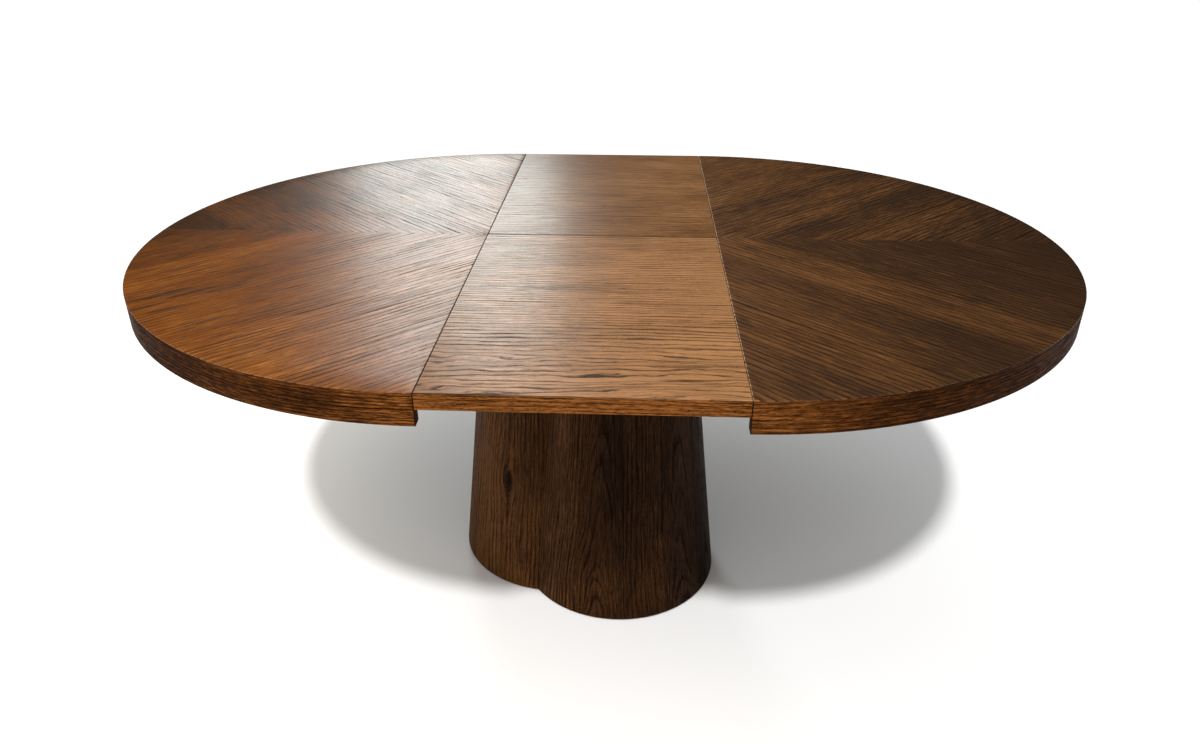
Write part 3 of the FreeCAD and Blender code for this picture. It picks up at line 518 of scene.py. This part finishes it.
def half_veneer(side, rear, tone, which):
    """A quarter of the round ends: grain runs out from the middle, mirrored at the joint."""
    b = Build()
    n, m = 96, 12
    cg, sg = math.cos(GRAIN_ANGLE), math.sin(GRAIN_ANGLE)

    def world(x, y, z):
        return (side * (SEAM + x), (1 if rear else -1) * y, z)

    def where(p):
        x, y = side * p[0] - SEAM, abs(p[1])
        return (x * cg + y * sg, x * sg - y * cg, which)

    def outline(arc, seam, joint, z):
        rad = R - arc
        a0, a1 = math.asin(joint / rad), math.acos(seam / rad)
        c = (seam, joint)
        arcs = [(rad * math.cos(a0 + (a1 - a0) * i / n), rad * math.sin(a0 + (a1 - a0) * i / n)) for i in range(n + 1)]
        lower = [(c[0] + (arcs[0][0] - c[0]) * k / m, c[1] + (arcs[0][1] - c[1]) * k / m) for k in range(1, m)]
        upper = [(c[0] + (arcs[-1][0] - c[0]) * k / m, c[1] + (arcs[-1][1] - c[1]) * k / m) for k in range(m - 1, 0, -1)]
        return [world(x, y, z) for x, y in [c] + lower + arcs + upper], c, arcs

    r = 0.0008
    rings = [b.ring(outline(0, 0, 0, CORE_TOP)[0])]
    last = None
    for inset, drop in ease(r):
        f = inset / r
        pts, c, arcs = outline(inset, (0.0012 if side > 0 else 0.0006) * f, 0.00008 * f, TOP - drop)
        rings.append(b.ring(pts))
        last = (c, arcs)
    b.face(rings[0][::-1], where)
    for lo, hi in zip(rings, rings[1:]):
        for i in range(len(lo)):
            j = (i + 1) % len(lo)
            b.face((lo[i], lo[j], hi[j], hi[i]), where)
    # the face itself: rays from the inner corner
    c, arcs = last
    top = rings[-1]
    first_ray = [top[0]] + top[1:m] + [top[m]]
    last_ray = [top[0]] + top[:m + n:-1] + [top[m + n]]
    rays = [first_ray]
    for i in range(1, n):
        mid = b.ring([world(c[0] + (arcs[i][0] - c[0]) * k / m, c[1] + (arcs[i][1] - c[1]) * k / m, TOP) for k in range(1, m)])
        rays.append([top[0]] + mid + [top[m + i]])
    rays.append(last_ray)
    for p, q in zip(rays, rays[1:]):
        b.face((p[0], p[1], q[1]), where)
        for k in range(1, m):
            b.face((p[k], p[k + 1], q[k + 1], q[k]), where)
    s = "right" if side > 0 else "left"
    e = "rear" if rear else "front"
    return b.make("%s_%s_veneer_sheet" % (s, e), s + "_half", "%s_%s_veneer" % (s, e), M_RIGHT_SHADED if side > 0 else M_LEFT_REAR if rear else M_LEFT,
                  tone,
                  flip=(side > 0) != rear)


def leaf_veneer(rear, tone, which):
    """Half of the leaf's face, with the grain across the leaf."""
    b = Build()
    sy = 1 if rear else -1

    def where(p):
        return (p[0] + 0.3, p[1], which)

    def outline(outer, seam, joint, z):
        x, y0, y1 = LEAF - seam, joint, R - outer
        return [(-x, sy * y0, z), (x, sy * y0, z), (x, sy * y1, z), (-x, sy * y1, z)]

    r = 0.0008
    rings = [b.ring(outline(0, 0, 0, CORE_TOP))]
    for inset, drop in ease(r):
        f = inset / r
        rings.append(b.ring(outline(inset, 0.0006 * f, 0.0019 * f, TOP - drop)))
    b.face(rings[0][::-1], where)
    for lo, hi in zip(rings, rings[1:]):
        for i in range(4):
            j = (i + 1) % 4
            b.face((lo[i], lo[j], hi[j], hi[i]), where)
    b.face(rings[-1], where)
    e = "rear" if rear else "front"
    return b.make("leaf_%s_veneer_sheet" % e, "leaf", "leaf_%s_veneer" % e, M_LEAF_REAR if rear else M_LEAF, tone, flip=not rear)


def edge_band(side, tone, which):
    """Veneer round a half's edge, with its lower arris eased."""
    b = Build()
    n = 192
    r = 0.0012
    profile = [(R - BAND, CORE_TOP), (R - BAND, RIM_LOW)]
    profile += [(R - inset, RIM_LOW + drop) for inset, drop in ease(r)[::-1]]
    profile += [(R, RIM_LOW + 0.012), (R, RIM_LOW + 0.026), (R, RIM_LOW + 0.040), (R, CORE_TOP)]

    rings = []
    turns = [-math.pi / 2 + math.pi * i / n for i in range(n + 1)]
    turns[1:1], turns[-1:-1] = [turns[0] + 0.0013 / R], [turns[-1] - 0.0013 / R]
    for a in turns:
        rings.append(b.ring([(side * (SEAM + rad * math.cos(a)), rad * math.sin(a), z) for rad, z in profile]))

    def where(p):
        return (R * math.atan2(p[1], side * p[0] - SEAM), p[2], which)

    k = len(profile)
    for lo, hi in zip(rings, rings[1:]):
        for i in range(k):
            j = (i + 1) % k
            b.face((lo[i], lo[j], hi[j], hi[i]), where)
    b.face(rings[0][::-1], where)
    b.face(rings[-1], where)
    s = "right" if side > 0 else "left"
    return b.make(s + "_edge_veneer", s + "_half", s + "_edge_band", M_EDGE, tone, flip=side > 0)


def leaf_band(rear, tone, which):
    b = Build()
    sy = 1 if rear else -1
    r = 0.0012
    profile = [(R - BAND, CORE_TOP), (R - BAND, LEAF_LOW)]
    profile += [(R - inset, LEAF_LOW + drop) for inset, drop in ease(r)[::-1]]
    profile += [(R, LEAF_LOW + 0.012), (R, CORE_TOP)]
    xs = [-LEAF + 2 * LEAF * i / 24 for i in range(25)]
    rings = [b.ring([(x, sy * y, z) for y, z in profile]) for x in xs]

    def where(p):
        return (p[0] + 0.9, p[2] + 0.2, which)

    k = len(profile)
    for lo, hi in zip(rings, rings[1:]):
        for i in range(k):
            j = (i + 1) % k
            b.face((lo[i], lo[j], hi[j], hi[i]), where)
    b.face(rings[0][::-1], where)
    b.face(rings[-1], where)
    e = "rear" if rear else "front"
    return b.make("leaf_%s_edge_veneer" % e, "leaf", "leaf_%s_edge_band" % e, M_EDGE, tone, flip=not rear)


def drum(side, name, material, tone, which, painted_foot_light=0.0):
    """Tapered drum, cut off where it meets the other one, with its foot eased; its last argument paints light on it,
    lighter towards the foot and darker up under the top."""
    b = Build()
    n = 144
    out = DRUM_TURN if side > 0 else DRUM_TURN + math.pi      # away from the other drum
    axis = DRUM_MID + Vector((math.cos(out), math.sin(out), 0)) * DRUM_OFF
    r = 0.0022

    def rad(z):
        return DRUM_FOOT - DRUM_TAPER * z

    profile = [(rad(DRUM_TOP) - DRUM_WALL, DRUM_TOP)]
    profile += [(rad(z) - DRUM_WALL, z) for z in (0.44, 0.22)]
    profile += [(rad(DRUM_LOW) - DRUM_WALL, DRUM_LOW)]
    profile += [(rad(DRUM_LOW + drop) - inset, DRUM_LOW + drop) for inset, drop in ease(r, 5)[::-1]]
    profile += [(rad(z), z) for z in (0.03, 0.1, 0.2, 0.3, 0.4, 0.5, 0.6)]
    profile += [(rad(DRUM_TOP), DRUM_TOP)]

    rings = []
    for i in range(n + 1):
        pts = []
        for rr, z in profile:
            cut = math.acos(min(1.0, DRUM_OFF / rr))
            a = out + math.pi + cut + (2 * math.pi - 2 * cut) * i / n
            pts.append((axis.x + rr * math.cos(a), axis.y + rr * math.sin(a), z))
        rings.append(b.ring(pts))

    def turn(p):
        a = math.atan2(p[1] - axis.y, p[0] - axis.x) - out
        return (a + math.pi) % (2 * math.pi) - math.pi

    def where(p):
        return (p[2], turn(p) * 0.18, which)

    k = len(profile)
    for lo, hi in zip(rings, rings[1:]):
        for i in range(k):
            j = (i + 1) % k
            b.face((lo[i], lo[j], hi[j], hi[i]), where)
    b.face(rings[0][::-1], where)
    b.face(rings[-1], where)
    return b.make(name + "_veneered", "pedestal", name, material, lambda p: tone(turn(p)) + painted_foot_light * (0.45 - p[2] / DRUM_TOP))


def painted_falloff_and_edges(inner, outer, seam=0.0, bend=1.0):
    """A tone that changes from a half's straight edge to the end of its long axis: painted shade, darker towards the
    tips that less light reaches. The edge itself can be darker, where the stain soaks into the cut and, as painted
    shade, in the left seam's gap, or lighter, as a painted highlight on the right seam's arris."""
    def tone(p):
        x = abs(p[0]) - SEAM
        return inner + (outer - inner) * max(0.0, x / R) ** bend + (seam if x < (0.0009 if seam > 0 else 0.0004) else 0.0)
    return tone


def painted_light_round(steps):
    """Painted light round a drum: a tone that changes by the angle in degrees from its outermost line, lighter on the
    side the light falls on and darker on the shaded side.
    """
    def tone(a):
        a = math.degrees(a)
        for (a0, t0), (a1, t1) in zip(steps, steps[1:]):
            if a <= a1:
                return t0 + (t1 - t0) * max(0.0, (a - a0) / (a1 - a0))
        return steps[-1][1]
    return tone


def painted_light_across_leaf(left, right, seam):
    # Painted light: the leaf lighter towards its right. The seam term darkens the leaf's middle joint and its edge in
    # the left seam's gap, there partly painted shade.
    def tone(p):
        t = left + (right - left) * (p[0] + LEAF) / (2 * LEAF)
        return t + (seam if p[0] < -LEAF + 0.0004 or abs(p[1]) < 0.0013 else 0.0)
    return tone


# Tones of the veneered pieces, painted light and shade: the right half darker and the leaf lighter than the left half,
# the leaf's front face and edge lighter than its rear ones, and the halves and rims darker towards their tips. The seam
# terms darken the rims' stained end faces and the leaf's middle joint, put painted shade in the left seam's gap and a
# painted highlight along the right seam.
half_veneer(-1, False, painted_falloff_and_edges(0.08, -0.03, -1.2), 1.13)
half_veneer(-1, True, painted_falloff_and_edges(0.06, -0.44, -1.2), 2.68)
half_veneer(+1, False, painted_falloff_and_edges(-0.18, -0.60, 1.2), 3.37)
half_veneer(+1, True, painted_falloff_and_edges(-0.13, -0.55, 1.2), 4.59)
leaf_veneer(False, painted_light_across_leaf(0.14, 0.50, -1.4), 6.23)
leaf_veneer(True, painted_light_across_leaf(0.02, 0.16, -1.4), 7.80)
edge_band(-1, painted_falloff_and_edges(0.18, -0.75, -1.2, 0.69), 8.17)
edge_band(+1, painted_falloff_and_edges(0.02, -0.70, -1.2, 0.6), 9.43)
leaf_band(False, 0.40, 10.61)
leaf_band(True, 0.10, 11.37)
# The drums' tones are painted light: lighter on the sides the light falls on, darker in shade, and the rear drum
# lighter towards its foot.
drum(+1, "front_drum", M_DRUM, painted_light_round(((-118, 0.20), (-85, 0.02), (-55, -0.38), (0, -0.36), (25, -0.10), (70, 0.05), (118, 0.15))), 12.19)
drum(-1, "rear_drum", M_KNOTTY, painted_light_round(((-118, 0.1), (-60, 0.0), (0, 0.12), (35, 0.24), (80, 0.30), (118, 0.02))), 13.77, 0.24)

# ---------------------------------------------------------------------------------------
# Floor, light and camera
# ---------------------------------------------------------------------------------------


def floor():
    me = bpy.data.meshes.new("floor")
    s = 60.0
    me.from_pydata([(-s, -s, 0), (s, -s, 0), (s, s, 0), (-s, s, 0)], [], [(0, 1, 2, 3)])
    g = Nodes("pale_floor")
    g.bsdf.inputs["Base Color"].default_value = (0.94, 0.95, 0.965, 1)
    g.bsdf.inputs["Roughness"].default_value = 0.9
    g.bsdf.inputs["Specular IOR Level"].default_value = 0.1
    me.materials.append(g.mat)
    o = bpy.data.objects.new("floor", me)
    bpy.context.scene.collection.objects.link(o)


def backdrop():
    """A plain pale wall far off, for low views; it neither lights nor shades anything."""
    me = bpy.data.meshes.new("backdrop")
    n, rad, high = 64, 58.0, 70.0
    ring = [(rad * math.cos(2 * math.pi * i / n), rad * math.sin(2 * math.pi * i / n)) for i in range(n)]
    me.from_pydata([(x, y, z) for z in (-0.5, high) for x, y in ring], [],
                   [((i + 1) % n, i, n + i, n + (i + 1) % n) for i in range(n)])
    g = Nodes("pale_backdrop")
    g.bsdf.inputs["Base Color"].default_value = (0.0, 0.0, 0.0, 1)
    g.bsdf.inputs["Specular IOR Level"].default_value = 0.0
    g.bsdf.inputs["Emission Color"].default_value = (0.90, 0.905, 0.91, 1)
    g.bsdf.inputs["Emission Strength"].default_value = 1.0
    g.mat.cycles.emission_sampling = "NONE"
    me.materials.append(g.mat)
    o = bpy.data.objects.new("backdrop", me)
    bpy.context.scene.collection.objects.link(o)
    o.visible_diffuse = o.visible_glossy = o.visible_transmission = o.visible_volume_scatter = o.visible_shadow = False


def aim(obj, at, target):
    obj.location = at
    obj.rotation_mode = "QUATERNION"
    obj.rotation_quaternion = (Vector(target) - Vector(at)).to_track_quat("-Z", "Y")


def area(name, at, target, size, power, colour=(1, 1, 1)):
    d = bpy.data.lights.new(name, "AREA")
    d.shape, d.size, d.size_y = "RECTANGLE", size[0], size[1]
    d.energy, d.color = power, colour
    o = bpy.data.objects.new(name, d)
    bpy.context.scene.collection.objects.link(o)
    o.visible_camera = False
    aim(o, at, target)
    return o


def sun(name, azimuth, elevation, strength, angle, colour=(1, 1, 1)):
    """azimuth 0 shines from the camera's side along +Y, positive from the right."""
    d = bpy.data.lights.new(name, "SUN")
    d.energy, d.angle, d.color = strength, math.radians(angle), colour
    o = bpy.data.objects.new(name, d)
    bpy.context.scene.collection.objects.link(o)
    a, e = math.radians(azimuth), math.radians(elevation)
    at = Vector((math.sin(a) * math.cos(e), -math.cos(a) * math.cos(e), math.sin(e))) * 6
    aim(o, at, (0, 0, 0))
    return o


floor()
backdrop()
sun("front_key", -6, 56, 2.5, 4, (1.0, 0.985, 0.96))
window = area("back_window", (-1.24, 4.3, 2.75), (-0.32, 0.0, 0.76), (1.25, 3.0), 14.9, (0.905, 1.0, 0.985))
window.data.spread = math.radians(80)
area("left_top", (-1.25, -0.8, 2.15), (-0.8, -0.2, 0.76), (0.9, 0.9), 12, (1.0, 0.80, 0.55))
area("left_low", (-2.9, -2.2, 0.9), (-0.2, 0.0, 0.35), (1.0, 0.8), 7, (1.0, 0.90, 0.76))

world = bpy.data.worlds.new("studio")
bpy.context.scene.world = world
world.use_nodes = True
wt = world.node_tree
wt.nodes.clear()
wout = wt.nodes.new("ShaderNodeOutputWorld")
wbg = wt.nodes.new("ShaderNodeBackground")
wco = wt.nodes.new("ShaderNodeTexCoord")
wmap = wt.nodes.new("ShaderNodeMapRange")
wmap.interpolation_type = "SMOOTHSTEP"
# bright overhead, from the front and the left, dim low down at the far side and the right
wdot = wt.nodes.new("ShaderNodeVectorMath")
wdot.operation = "DOT_PRODUCT"
wdot.inputs[1].default_value = (-0.35, -0.75, 1.0)
wt.links.new(wco.outputs["Generated"], wdot.inputs[0])
wt.links.new(wdot.outputs["Value"], wmap.inputs["Value"])
wmap.inputs["From Min"].default_value = 0.0
wmap.inputs["From Max"].default_value = 1.0
wmap.inputs["To Min"].default_value = 0.012
wmap.inputs["To Max"].default_value = 0.78
wt.links.new(wmap.outputs["Result"], wbg.inputs["Strength"])
wbg.inputs["Color"].default_value = (1.0, 0.99, 0.975, 1)
wt.links.new(wbg.outputs[0], wout.inputs[0])

SCALE = 0.660
cam_data = bpy.data.cameras.new("camera")
cam_data.sensor_fit, cam_data.sensor_width = "HORIZONTAL", 36.0
cam_data.lens = 36.0 * 889.6 / 1200.0
cam_data.clip_start, cam_data.clip_end = 0.05, 200.0
cam = bpy.data.objects.new("camera", cam_data)
bpy.context.scene.collection.objects.link(cam)
yaw, pitch, roll = -0.04243, 0.47996, 0.00185
fwd = Vector((math.sin(yaw) * math.cos(pitch), math.cos(yaw) * math.cos(pitch), -math.sin(pitch)))
right = Vector((math.cos(yaw), -math.sin(yaw), 0))
up = right.cross(fwd)
right, up = (right * math.cos(roll) + up * math.sin(roll)), (up * math.cos(roll) - right * math.sin(roll))
rot = Matrix((right, up, -fwd)).transposed()
cam.rotation_mode = "QUATERNION"
cam.rotation_quaternion = rot.to_quaternion()
cam.location = Vector((0.10427, -2.56953, 2.02980)) * SCALE
bpy.context.scene.camera = cam

bpy.context.scene.view_settings.view_transform = "Standard"
bpy.context.scene.view_settings.look = "None"
